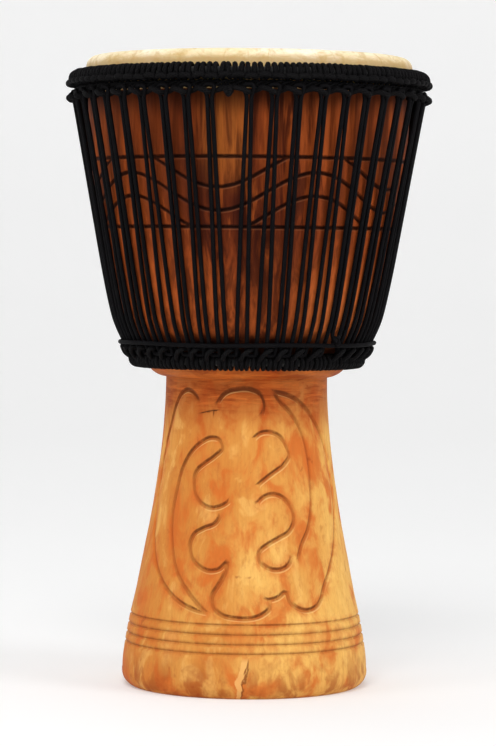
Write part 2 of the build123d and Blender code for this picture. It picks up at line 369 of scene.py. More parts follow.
def cords(name, paths, radius, sides, material, closed=False):
    """One piece made of cords of the same thickness."""
    mesh = Build()
    for path in paths:
        mesh.add(*tube(path, radius, sides, closed))
    return mesh.make(name, material)


# ---------------------------------------------------------------- materials

def colour(r, g, b):
    """Colour given as it looks on a screen, 0 to 255 each, as a linear colour."""
    def linear(v):
        v /= 255
        return v / 12.92 if v <= 0.04045 else ((v + 0.055) / 1.055) ** 2.4
    return linear(r), linear(g), linear(b), 1.0


class Surface:
    """A material, with short calls for making its nodes and joining them."""

    def __init__(self, name, roughness=0.6, **sockets):
        self.material = bpy.data.materials.new(name)
        self.material.use_nodes = True
        self.tree = self.material.node_tree
        self.shader = self.tree.nodes["Principled BSDF"]
        self.shader.inputs["Roughness"].default_value = roughness
        for key, value in sockets.items():
            self.shader.inputs[key.replace("_", " ")].default_value = value

    def put(self, socket, value):
        if isinstance(value, bpy.types.NodeSocket):
            self.tree.links.new(value, socket)
        else:
            socket.default_value = value

    def node(self, kind, inputs=(), output=0, **settings):
        made = self.tree.nodes.new("ShaderNode" + kind)
        for key, value in settings.items():
            setattr(made, key, value)
        for key, value in dict(inputs).items():
            self.put(made.inputs[key], value)
        return made.outputs[output]

    def math(self, operation, a, b=0.0, c=0.0):
        return self.node("Math", {0: a, 1: b, 2: c}, operation=operation)

    def where(self):
        """Place on the object, in metres."""
        return self.node("TexCoord", output="Object")

    def parts(self, vector):
        made = self.tree.nodes.new("ShaderNodeSeparateXYZ")
        self.put(made.inputs[0], vector)
        return made.outputs[0], made.outputs[1], made.outputs[2]

    def noise(self, scale, detail=3.0, rough=0.55, distortion=0.0, shift=(0, 0, 0)):
        vector = self.node("Mapping", {"Vector": self.where(), "Scale": scale, "Location": shift})
        return self.node("TexNoise", {"Vector": vector, "Scale": 1.0, "Detail": detail, "Roughness": rough,
                                      "Distortion": distortion})

    def step(self, value, low, high, to_low=0.0, to_high=1.0):
        """Smooth step of a value from low to high."""
        return self.node("MapRange", {0: value, 1: low, 2: high, 3: to_low, 4: to_high},
                         interpolation_type="SMOOTHSTEP")

    def ramp(self, value, stops):
        made = self.tree.nodes.new("ShaderNodeValToRGB")
        self.put(made.inputs[0], value)
        elements = made.color_ramp.elements
        while len(elements) < len(stops):
            elements.new(0.5)
        for element, (place, tint) in zip(elements, stops):
            element.position = place
            element.color = tint
        return made.outputs[0]

    def mix(self, share, a, b):
        made = self.tree.nodes.new("ShaderNodeMix")
        made.data_type = "RGBA"
        self.put(made.inputs[0], share)
        self.put(made.inputs[6], a)
        self.put(made.inputs[7], b)
        return made.outputs[2]

    def layer(self, base, value, low, high, share, tone, least=0.0):
        """A colour with a tone laid over it, as a value goes from low to high."""
        return self.mix(self.step(value, low, high, least, share), base, colour(*tone))

    def times(self, a, b):
        return self.math("MULTIPLY", a, b)

    def finish(self, tint=None, rough=None, height=None, distance=0.0005, strength=1.0):
        if tint is not None:
            self.put(self.shader.inputs["Base Color"], tint)
        if rough is not None:
            self.put(self.shader.inputs["Roughness"], rough)
        if height is not None:
            bump = self.node("Bump", {"Height": height, "Distance": distance, "Strength": strength})
            self.put(self.shader.inputs["Normal"], bump)
        return self.material


def wood_material():
    """Oiled carved hardwood: golden mottled foot, dark red-brown bowl, darker in the cuts; shade is painted
    into the cuts, under the crown, round the bottom ring and on the neck, and a highlight on the cuts' lower
    lips.
    """
    s = Surface("carved_wood", Specular_IOR_Level=0.05)
    x, y, z = s.parts(s.where())
    carve, grime, lip = [s.node("Attribute", attribute_name=key, output="Fac")
                         for key in ("carve", "grime", "lip")]
    broad = s.noise((9, 9, 6), 3.0, 0.5, 0.3)
    blotch = s.noise((38, 38, 22), 4.0, 0.55, 0.5, (3, 1, 4))
    spot = s.noise((62, 62, 40), 3.0, 0.6, 0.4, (7, 2, 9))
    fine = s.noise((130, 130, 75), 5.0, 0.72, 0.3, (2, 8, 5))
    grain = s.noise((420, 420, 16), 5.0, 0.6, 0.4)
    streak = s.noise((85, 85, 5), 4.0, 0.6, 0.8, (1, 7, 2))

    # Foot: yellow ochre with soft orange patches, redder round the strokes, and redder and darker towards the
    # neck, partly painted shade
    pale = s.math("ADD", broad, s.times(x, 1.1))
    foot = s.ramp(pale, [(0.36, colour(202, 130, 58)), (0.5, colour(213, 150, 73)),
                         (0.64, colour(228, 175, 92))])
    foot = s.layer(foot, blotch, 0.48, 0.65, 0.85, (200, 102, 40))
    foot = s.layer(foot, blotch, 0.46, 0.36, 0.35, (241, 196, 112))
    foot = s.mix(s.times(grime, s.step(spot, 0.42, 0.60, 0.1, 0.75)), foot, colour(200, 100, 40))
    foot = s.layer(foot, fine, 0.50, 0.72, 0.42, (180, 102, 48))
    foot = s.layer(foot, grain, 0.35, 0.75, 0.2, (160, 92, 42))
    foot = s.layer(foot, spot, 0.66, 0.75, 0.6, (150, 64, 28))
    high = s.math("ADD", z, s.times(blotch, 0.05))
    # Darker and redder towards the neck: partly the wood's redder tone, partly painted shade under the shelf
    # and the bottom ring
    foot = s.layer(foot, high, 0.258, 0.310, 0.8, (158, 66, 22))
    turning = s.noise((28, 28, 190), 4.0, 0.65, 0.8, (4, 6, 1))
    neck = s.step(high, 0.284, 0.306)
    foot = s.mix(s.times(neck, s.step(turning, 0.50, 0.64, 0.0, 0.5)), foot, colour(120, 42, 14))
    foot = s.mix(s.times(neck, s.step(turning, 0.48, 0.36, 0.0, 0.5)), foot, colour(210, 112, 46))
    dirty = s.times(s.step(high, 0.070, 0.030), s.step(spot, 0.42, 0.62, 0.1, 0.7))
    foot = s.mix(dirty, foot, colour(152, 66, 24))

    # Bowl: stained dark red-brown, ochre where the stain is thin
    bowl = s.ramp(broad, [(0.36, colour(70, 26, 9)), (0.5, colour(111, 46, 18)), (0.64, colour(156, 73, 29))])
    bowl = s.layer(bowl, streak, 0.45, 0.60, 0.85, (52, 16, 7))
    bowl = s.layer(bowl, streak, 0.44, 0.32, 0.65, (166, 80, 32))
    front = s.times(s.step(y, -0.05, -0.12), s.step(z, 0.46, 0.51))
    patch = s.times(s.step(x, -0.052, -0.030), s.step(x, 0.006, -0.006))
    patch = s.times(patch, s.step(streak, 0.62, 0.42, 0.25, 0.9))
    bowl = s.mix(s.times(front, patch), bowl, colour(158, 86, 33))
    low = s.times(s.step(z, 0.44, 0.345), s.step(streak, 0.60, 0.42, 0.25, 0.85))
    bowl = s.mix(low, bowl, colour(172, 82, 36))
    bowl = s.layer(bowl, s.math("ABSOLUTE", x), 0.03, 0.10, 0.3, (190, 90, 38))
    flank = s.times(s.step(x, 0.03, 0.075), s.step(z, 0.42, 0.35))
    bowl = s.mix(s.times(flank, 0.5), bowl, colour(226, 122, 60))
    bowl = s.layer(bowl, grain, 0.35, 0.75, 0.4, (40, 14, 6))
    # Painted shadow of the crown across the top of the bowl
    bowl = s.layer(bowl, z, 0.535, 0.560, 0.65, (28, 11, 5))

    stain = s.step(s.math("ADD", z, s.times(blotch, 0.012)), 0.316, 0.334)
    tint = s.mix(stain, foot, bowl)
    # Painted shade on the wood behind the bottom ring's cords, loops and spare turn
    shade_behind_cords = s.times(s.step(z, 0.309, 0.318), s.step(z, 0.345, 0.330))
    tint = s.mix(s.times(shade_behind_cords, 0.85), tint, colour(24, 11, 6))
    # Darker inside the cuts: painted shade in the recess with some dirt, nearly black on the bowl
    cut_shade_and_dirt = s.times(s.step(carve, 0.1, 0.9), s.step(high, 0.29, 0.31, 0.3, 0.85))
    tint = s.mix(cut_shade_and_dirt, tint, s.mix(stain, colour(104, 52, 24), colour(20, 7, 4)))
    # Painted shade on the upper wall of each cut and a painted highlight on its lower lip, as light from above
    # left would fall
    shaded = s.times(s.step(lip, 0.05, 0.6), s.step(fine, 0.3, 0.55, 0.35, 0.85))
    tint = s.mix(shaded, tint, s.mix(stain, colour(86, 41, 18), colour(20, 7, 4)))
    painted_lip_highlight = s.mix(stain, colour(246, 205, 134), colour(138, 80, 50))
    tint = s.mix(s.step(lip, -0.35, -0.8, 0.0, 0.6), tint, painted_lip_highlight)
    tint = s.layer(tint, carve, 1.1, 1.8, 0.85, (52, 26, 14))

    # An old crack in the foot, opened at the front
    bend = s.times(s.math("SUBTRACT", blotch, 0.5), 0.03)
    across = s.math("SUBTRACT", s.math("ADD", x, bend), CRACK_X)
    crack = s.times(s.step(z, 0.040, 0.034), s.step(y, -0.05, -0.09))
    chip = s.times(s.step(across, -0.0075, -0.0060), s.step(across, 0.0, -0.0012))
    tint = s.mix(s.times(crack, s.times(chip, 0.7)), tint, colour(232, 178, 106))
    edge = s.step(s.math("ABSOLUTE", across), 0.0014, 0.0004, 0.0, 0.7)
    tint = s.mix(s.times(crack, edge), tint, colour(108, 56, 26))
    rough = s.math("MULTIPLY_ADD", grain, 0.25, 0.45)
    height = s.math("MULTIPLY_ADD", grain, 0.6, s.times(fine, 0.7))
    return s.finish(tint, rough, height, 0.0005, 0.6)


def skin_material():
    """Dried goat skin: cream, stained tan below the rim, with faint hair roots."""
    s = Surface("goat_skin", 0.5, Specular_IOR_Level=0.3, Subsurface_Weight=0.1, Subsurface_Scale=0.002)
    z = s.parts(s.where())[2]
    broad = s.noise((13, 13, 13), 4.0, 0.6, 1.0)
    spots = s.noise((95, 95, 60), 4.0, 0.65, 0.6)
    patches = s.noise((40, 40, 90), 5.0, 0.7, 1.2, (6, 3, 2))
    roots = s.node("TexVoronoi", {"Vector": s.where(), "Scale": 700.0})
    tint = s.ramp(broad, [(0.34, colour(228, 208, 160)), (0.5, colour(243, 229, 194)),
                          (0.64, colour(252, 243, 219))])
    tint = s.layer(tint, spots, 0.50, 0.66, 0.6, (205, 172, 116))
    tint = s.layer(tint, patches, 0.60, 0.70, 0.5, (186, 146, 88))
    low = s.step(s.math("ADD", z, s.times(patches, 0.016)), 0.607, 0.597)
    tint = s.mix(s.times(low, 0.8), tint, colour(190, 152, 86))
    tint = s.layer(tint, roots, 0.0, 0.25, 0.0, (150, 118, 78), 0.25)
    rough = s.math("MULTIPLY_ADD", spots, 0.25, 0.4)
    return s.finish(tint, rough, s.math("MULTIPLY_ADD", roots, 0.5, patches), 0.0004, 0.4)


def cord_material(name, tint, high, round_count, pitch):
    """Braided polyester cord: crossing bundles that show as a diamond relief, with a painted highlight on their
    crowns.
    """
    s = Surface(name, 0.75, Specular_IOR_Level=0.05)
    u, v, _ = s.parts(s.node("UVMap", uv_map="along"))
    along = s.math("DIVIDE", v, pitch)
    around = s.times(u, float(round_count))
    left = s.math("ABSOLUTE", s.math("SINE", s.times(s.math("ADD", around, along), math.pi)))
    right = s.math("ABSOLUTE", s.math("SINE", s.times(s.math("SUBTRACT", around, along), math.pi)))
    weave = s.math("MAXIMUM", left, right)
    fluff = s.noise((900, 900, 900), 2.0, 0.6)
    dust = s.noise((60, 60, 60), 3.0, 0.6)
    # The crowns of the bundles take the lighter colour: a painted highlight
    base = s.mix(s.step(weave, 0.55, 1.0, 0.0, 1.0), colour(*tint), colour(*high))
    base = s.layer(base, dust, 0.5, 0.8, 0.15, (36, 35, 34))
    rough = s.math("MULTIPLY_ADD", fluff, 0.25, 0.6)
    height = s.math("MULTIPLY_ADD", fluff, 0.3, weave)
    return s.finish(base, rough, height, 0.0004, 0.9)


def steel_material():
    """Drawn steel rod with a little rust."""
    s = Surface("steel_ring", 0.4, Metallic=1.0)
    rust = s.noise((90, 90, 90), 4.0, 0.65)
    fine = s.noise((800, 800, 800), 2.0, 0.6)
    tint = s.mix(s.step(rust, 0.5, 0.7), colour(150, 148, 144), colour(112, 66, 40))
    return s.finish(tint, s.math("MULTIPLY_ADD", fine, 0.3, 0.3), fine, 0.0002, 0.5)


def wrap_material():
    """Plain-woven black cotton strip."""
    s = Surface("cloth_wrap", 0.85, Sheen_Weight=0.3)
    threads = s.node("TexWave", {"Vector": s.where(), "Scale": 700.0, "Distortion": 1.0}, output=1)
    across = s.node("TexWave", {"Vector": s.where(), "Scale": 700.0, "Distortion": 1.0}, output=1,
                    bands_direction="Z")
    weave = s.times(threads, across)
    tint = s.mix(weave, colour(18, 17, 18), colour(48, 46, 46))
    return s.finish(tint, None, weave, 0.0003, 0.8)


def studio_material(name, tint, rough):
    s = Surface(name, rough)
    soft = s.noise((6, 6, 6), 3.0, 0.5)
    shade = tuple(v * 0.985 for v in colour(*tint)[:3]) + (1.0,)
    y = s.parts(s.where())[1]
    s.shader.inputs["Emission Color"].default_value = (1.0, 1.0, 1.0, 1.0)
    s.put(s.shader.inputs["Emission Strength"], s.step(y, -0.5, 3.5, *PAPER_GLOW))
    return s.finish(s.mix(soft, shade, colour(*tint)))


# ---------------------------------------------------------------- shell

def outer_profile(step):
    """Outside of the shell from the foot's edge up to the flat of the rim, as (radius, height) points."""
    pieces = [
        line((FOOT_INNER, 0), (FOOT_OUTER, 0), 5.0),
        arc((FOOT_OUTER, 0), (115.4, 5.2), HEEL, step),
        spline([HEEL, (112.3, 57), (104.6, 92), (95.5, 138), (87.4, 184), (81.1, 230), CREASE], step,
               (-0.02, 1), (-0.005, 1)),
        arc(CREASE, (88.6, 299.4), SHELF, step),
        spline([SHELF, (98.4, 318.6), (104.0, 324.5), (111.2, 330.2), (117.2, 336.3), (122.5, 345.6),
                (127.1, 360.0), BELLY], step, (0.05, 1), (0.2, 1)),
        arc(BELLY, (147.0, 470), (RIM_RADIUS, 575), step),
        line((RIM_RADIUS, 575), (RIM_RADIUS, WALL_TOP_Z), step),
        arc((RIM_RADIUS, WALL_TOP_Z), (RIM_RADIUS - RIM_ROUND * 0.2929, RIM_Z - RIM_ROUND * 0.2929),
            (RIM_RADIUS - RIM_ROUND, RIM_Z), step / 2),
    ]
    return np.vstack([pieces[0]] + [piece[1:] for piece in pieces[1:]])


def inner_profile(step):
    """Inside of the shell from the bearing edge down to the foot's mouth."""
    lip = (BOWL_INNER, RIM_Z - 5)
    base = (FOOT_INNER, 0)
    pieces = [
        line((RIM_RADIUS - RIM_ROUND, RIM_Z), (BOWL_INNER + 1.5, RIM_Z - 1.2), 2.0),
        line((BOWL_INNER + 1.5, RIM_Z - 1.2), lip, 2.5),
        arc(lip, (136.0, 480), (120.5, 392), step),
        spline([(120.5, 392), (104, 345), (80, 315), (59, 295), THROAT], step, (-0.2, -1), (0, -1)),
        spline([THROAT, (61, 190), (82, 95), base], step, (0, -1), (0.12, -1)),
    ]
    return np.vstack([piece[1:] for piece in pieces])


def bowl_strokes():
    """Carved lines of the bowl, as rows of (angle, height)."""
    angles = np.arange(-180, 180.01, 1.0)
    strokes = [np.c_[angles, np.full(len(angles), z)] for z in BOWL_LINES_Z]
    low, high = BOWL_LINES_Z
    for offset in WAVE_OFFSETS:
        fine = np.arange(-180, 180.01, 0.8)
        z = WAVE_Z + offset + WAVE_HEIGHT * np.cos(np.radians(WAVES_ROUND * (fine - WAVE_PEAK)))
        inside = (z > low + 0.5) & (z < high - 0.5)
        breaks = np.flatnonzero(np.diff(inside.astype(int))) + 1
        for run in np.split(np.arange(len(fine)), breaks):
            if inside[run[0]] and len(run) > 3:
                strokes.append(np.c_[fine[run], z[run]])
    return strokes


def foot_strokes():
    """Carved lines of the foot, smoothed, as rows of (angle, height)."""
    rows = []
    for stroke in FOOT_STROKES:
        flat = spline([(math.radians(a) * 90, z) for a, z in stroke], 1.6)
        rows.append(np.c_[np.degrees(flat[:, 0] / 90), flat[:, 1]])
    return rows


class Cuts:
    """Strokes cut into a surface: how far each of some points is from the nearest one."""

    def __init__(self, strokes, radius, half_width, depth, taper, shoulder=0.0, darkness=1.0):
        self.shoulder = shoulder
        self.darkness = darkness
        self.strokes = strokes
        self.radius = radius
        self.half_width = half_width
        self.depth = depth
        self.taper = taper
        starts, ends, along, total = [], [], [], []
        for stroke in strokes:
            flat = self.flat(stroke)
            length = distances(flat)
            starts.append(flat[:-1])
            ends.append(flat[1:])
            along.append(length[:-1])
            total.append(np.full(len(flat) - 1, length[-1]))
        self.start = np.vstack(starts)
        self.run = np.vstack(ends) - self.start
        self.along = np.concatenate(along)
        self.total = np.concatenate(total)

    def flat(self, places):
        """(angle, height) as millimetres on the unrolled surface."""
        places = np.asarray(places, float)
        return np.c_[np.radians(places[:, 0]) * self.radius, places[:, 1]]

    def measure(self, places):
        """Share of the full depth at each place, distance to the nearest stroke, and how far above it."""
        flat = self.flat(places)
        share, nearest, above = np.zeros(len(flat)), np.full(len(flat), 1e9), np.zeros(len(flat))
        size = (self.run**2).sum(1)
        for i in range(0, len(flat), 400):
            part = flat[i:i + 400, None] - self.start[None]
            t = np.clip((part * self.run).sum(2) / size, 0, 1)
            part -= t[..., None] * self.run
            gap = np.linalg.norm(part, axis=2)
            best = gap.argmin(1)
            rows = np.arange(len(best))
            nearest[i:i + 400] = gap[rows, best]
            above[i:i + 400] = part[rows, best] @ UPWARD
            at = self.along[best] + t[rows, best] * np.sqrt(size[best])
            end = np.minimum(at, self.total[best] - at)
            fade = np.clip(0.35 + end / self.taper, 0, 1) if self.taper else 1.0
            share[i:i + 400] = np.clip(1 - (nearest[i:i + 400] / self.half_width) ** 2, 0, 1) * fade
        return share, nearest, above

    def push(self, share, nearest):
        """Depth of the cut, with a shallow scooped shoulder on both sides of it."""
        return share * self.depth + self.shoulder * np.exp(-((nearest / SHOULDER_WIDTH) ** 2))

    def edge(self, nearest, above):
        """Upper wall of a cut towards 1, its lower lip towards -1, and 0 away from it: where the wood paints
        shade on the upper wall and a highlight on the lip.
        """
        return np.clip(above / self.half_width, -1, 1) * np.exp(-((nearest / (1.25 * self.half_width)) ** 4))

    def mesh_places(self, step):
        """Places along both sides of each stroke, for vertices that follow the cut."""
        rows = []
        for offset in (0.0, 0.5, -0.5, 1.0, -1.0, 1.7, -1.7):
            for stroke in self.strokes:
                flat = self.flat(stroke)
                length = distances(flat)
                at = np.arange(0, length[-1], step) + step * 0.3
                at = at[at < length[-1]]
                on = np.c_[np.interp(at, length, flat[:, 0]), np.interp(at, length, flat[:, 1])]
                ahead = np.c_[np.interp(at, length, np.gradient(flat[:, 0])),
                              np.interp(at, length, np.gradient(flat[:, 1]))]
                ahead /= np.linalg.norm(ahead, axis=1)[:, None]
                on += np.c_[-ahead[:, 1], ahead[:, 0]] * offset * self.half_width
                rows.append(on)
        return np.vstack(rows)


def thinned(places, low, high, gap):
    """The places within a band that are no nearer than a gap to one kept before them."""
    kept, cells = [], {}
    for p in places:
        if not low + gap < p[1] < high - gap:
            continue
        cell = (int(p[0] // gap), int(p[1] // gap))
        near = [q for i in (-1, 0, 1) for j in (-1, 0, 1) for q in cells.get((cell[0] + i, cell[1] + j), ())]
        if all((p[0] - q[0]) ** 2 + (p[1] - q[1]) ** 2 > gap * gap for q in near):
            cells.setdefault(cell, []).append(p)
            kept.append(p)
    return np.array(kept)


def carved_band(cuts, band, pitch, along, gap):
    """Places and triangles of a band round the shell, fine along its cuts and coarse elsewhere.

    The places are (angle, height). The first STEPS_ROUND of them are the lower edge and the next the upper."""
    low, high = band
    radius = cuts[0].radius
    width = 2 * math.pi * radius
    edge = (np.arange(STEPS_ROUND) / STEPS_ROUND - 0.5) * width
    scatter = np.random.default_rng(11)
    rows = []
    for j, z in enumerate(np.arange(low + pitch, high - pitch * 0.5, pitch * 0.87)):
        across = (np.arange(int(width / pitch)) + 0.5 * (j % 2)) * pitch - width / 2
        rows.append(np.c_[across, np.full(len(across), z)])
    plain = np.vstack(rows)
    plain += scatter.uniform(-0.12, 0.12, plain.shape) * pitch
    at = np.c_[np.degrees(plain[:, 0] / radius), plain[:, 1]]
    clear = np.all([cut.measure(at)[1] > cut.half_width * 2.2 for cut in cuts], axis=0)
    fine = np.vstack([cut.mesh_places(along) for cut in cuts])
    fine = fine[(fine[:, 0] >= -width / 2) & (fine[:, 0] < width / 2)]
    fine = thinned(fine + scatter.uniform(-0.02, 0.02, fine.shape), low, high, gap)
    flat = np.vstack([np.c_[edge, np.full(STEPS_ROUND, low)], np.c_[edge, np.full(STEPS_ROUND, high)],
                      fine, plain[clear]])
    # The band closes on itself: places near each end are repeated past the other end
    index = np.arange(len(flat))
    margin = 6 * pitch
    right, left = flat[:, 0] < -width / 2 + margin, flat[:, 0] > width / 2 - margin
    spread = np.vstack([flat, flat[right] + (width, 0), flat[left] - (width, 0)])
    index = np.concatenate([index, index[right], index[left]])
    result = delaunay_2d_cdt([Vector(p) for p in spread], [], [], 0, 1e-5, True)
    source = [origin[0] for origin in result[3]]
    faces = []
    for face in result[2]:
        corners = [source[v] for v in face]
        if -width / 2 <= spread[corners, 0].mean() < width / 2:
            faces.append([int(index[v]) for v in corners])
    return np.c_[np.degrees(flat[:, 0] / radius), flat[:, 1]], faces


class Wall:
    """Outside of the shell: a place on it for each distance along its profile and angle round it."""

    def __init__(self):
        self.points = outer_profile(0.5)
        self.path = distances(self.points)
        slope = np.gradient(self.points, self.path, axis=0)
        self.normal = np.c_[slope[:, 1], -slope[:, 0]]
        self.normal /= np.linalg.norm(self.normal, axis=1)[:, None]
        rising = (self.points[:, 1] >= HEEL[1]) & (self.points[:, 1] <= WALL_TOP_Z)
        self.rising = np.flatnonzero(rising)

    def along(self, z):
        """Distance along the profile at a height of its rising part."""
        return np.interp(z, self.points[self.rising, 1], self.path[self.rising])

    def place(self, angle, along, push):
        """Points at angles and distances along the profile, pushed out by some amount."""
        def at(values):
            return np.interp(along, self.path, values)
        radius = at(self.points[:, 0]) + push * at(self.normal[:, 0])
        z = at(self.points[:, 1]) + push * at(self.normal[:, 1])
        turn = np.radians(angle)
        return np.c_[radius * np.sin(turn), -radius * np.cos(turn), z]

    def row_places(self):
        """Distances along the profile of the plain rows, in runs between the carved bands."""
        grooves = [z + step for z in FOOT_GROOVES_Z for step in (-2.0, -1.3, -0.65, 0, 0.65, 1.3, 2.0)]
        foot = [z for z in np.arange(20.0, FOOT_BAND[0], 4.0) if min(abs(z - g) for g in grooves) > 1.2]
        foot = sorted(foot + grooves + [HEEL[1], FOOT_BAND[0]])
        neck = [FOOT_BAND[1], 292.0, 294.2]
        top = self.along(WALL_TOP_Z)
        end = self.path[-1]
        return [
            np.concatenate([[0.0, 5.5, 10.0], np.arange(11.0, self.along(HEEL[1]) - 1, 2.2), self.along(foot)]),
            np.concatenate([self.along(neck), np.arange(self.along(CREASE[1]), self.along(BELLY[1]), 2.6),
                            np.arange(self.along(BELLY[1]), self.along(BOWL_BAND[0]) - 2, 4.5),
                            [self.along(BOWL_BAND[0])]]),
            np.concatenate([np.arange(self.along(BOWL_BAND[1]), top - 2, 5.5),
                            np.linspace(top, end, 9)]),
        ]


def unevenness(points, amount):
    """Small push of the surface in and out, as hand tools leave it; none where the foot stands."""
    push = np.array([noise.noise(Vector(p) * 0.021) + 0.45 * noise.noise(Vector(p) * 0.07) for p in points])
    return push * amount * np.clip((points[:, 2] - 2) / 10, 0, 1)


def groove_share(z):
    """Share of the turned grooves' depth at each height."""
    share = np.zeros(len(z))
    for groove in FOOT_GROOVES_Z:
        share = np.maximum(share, np.clip(1 - ((z - groove) / GROOVE_HALF_WIDTH) ** 2, 0, 1))
    return share


def groove_grime_and_painted_light(z):
    """Nearness of each height to a turned groove, for its grime, and which edge of the groove it is on, for the
    painted shade of the upper wall and the painted highlight of the lower lip.
    """
    above = z[:, None] - np.array(FOOT_GROOVES_Z)
    above = above[np.arange(len(z)), np.abs(above).argmin(1)]
    edges = np.clip(above / GROOVE_HALF_WIDTH, -1, 1) * np.exp(-((above / (1.25 * GROOVE_HALF_WIDTH)) ** 4))
    return 0.6 * np.exp(-((above / GRIME_WIDTH) ** 2)), 0.6 * edges


def carved_shell(material):
    """Carved shell as one closed mesh: rows round the axis, with the carved bands between them."""
    wall = Wall()
    bowl_cuts = [Cuts(bowl_strokes(), BOWL_UNROLL, half_width=1.9, depth=1.9, taper=0, shoulder=0.2)]
    foot_cuts = [Cuts(foot_strokes(), FOOT_UNROLL, half_width=2.2, depth=1.8, taper=9.0, shoulder=0.6),
                 Cuts(KNIFE_MARKS, FOOT_UNROLL, half_width=1.2, depth=1.0, taper=4.0, darkness=2.0)]
    # For each band: its plain places' pitch, the step along its cuts and the least gap between places
    bands = [(foot_cuts, FOOT_BAND, 3.6, 1.5, 0.62), (bowl_cuts, BOWL_BAND, 4.4, 2.2, 0.7)]
    angles = (np.arange(STEPS_ROUND) / STEPS_ROUND - 0.5) * 360
    steps = np.arange(STEPS_ROUND)
    mesh = Build()
    carve, grime, lip = [], [], []
    plain_row = np.zeros(STEPS_ROUND)

    def add_row(points, share, close, edges):
        start = mesh.count
        mesh.add(points, [])
        carve.append(share)
        grime.append(close)
        lip.append(edges)
        return start

    last = None
    crease_row = None
    for run, places in enumerate(wall.row_places()):
        for i, along in enumerate(places):
            if i == 0 and run:
                last = upper_edge
                continue
            here = np.full(STEPS_ROUND, along)
            plain = wall.place(angles, here, np.zeros(STEPS_ROUND))
            share = groove_share(plain[:, 2])
            push = unevenness(plain, OUTSIDE_WAVE) - share * GROOVE_DEPTH
            row = add_row(wall.place(angles, here, push), share * 0.5, *groove_grime_and_painted_light(plain[:, 2]))
            if last is not None:
                mesh.join(last, row, STEPS_ROUND)
            if abs(along - wall.along(CREASE[1])) < 0.01:
                crease_row = row
            last = row
        if run < len(bands):
            cuts, band, pitch, fine, gap = bands[run]
            places, faces = carved_band(cuts, band, pitch, fine, gap)
            measured = [cut.measure(places) for cut in cuts]
            shares = np.array([found[0] * cut.darkness for cut, found in zip(cuts, measured)])
            depth = np.max([cut.push(*found[:2]) for cut, found in zip(cuts, measured)], axis=0)
            depth *= np.clip(np.minimum(places[:, 1] - band[0], band[1] - places[:, 1]) / 4, 0, 1)
            close = np.exp(-((measured[0][1] / GRIME_WIDTH) ** 2))[STEPS_ROUND:]
            edges = cuts[0].edge(*measured[0][1:])[STEPS_ROUND:]
            here = wall.along(places[:, 1])
            plain = wall.place(places[:, 0], here, np.zeros(len(here)))
            points = wall.place(places[:, 0], here, unevenness(plain, OUTSIDE_WAVE) - depth)[STEPS_ROUND:]
            upper_edge = add_row(points, shares.max(0)[STEPS_ROUND:], close, edges)
            vertex = np.concatenate([last + steps, upper_edge + np.arange(len(points))])
            mesh.faces += [tuple(int(vertex[v]) for v in face) for face in faces]
    for radius, z in inner_profile(11.0)[:-1]:
        plain = np.array([polar(a, radius, z) for a in angles])
        rough = 0.0 if z > WALL_TOP_Z else INSIDE_WAVE
        inward = (radius - unevenness(plain, rough)) / radius
        row = add_row(plain * np.c_[inward, inward, np.ones(len(inward))], plain_row, plain_row, plain_row)
        mesh.join(last, row, STEPS_ROUND)
        last = row
    mesh.join(last, 0, STEPS_ROUND)
    sharp = set(range(crease_row, crease_row + STEPS_ROUND))
    values = {"carve": np.concatenate(carve), "grime": np.concatenate(grime), "lip": np.concatenate(lip)}
    return mesh.make("carved_shell", material, values, sharp)


# ---------------------------------------------------------------- head

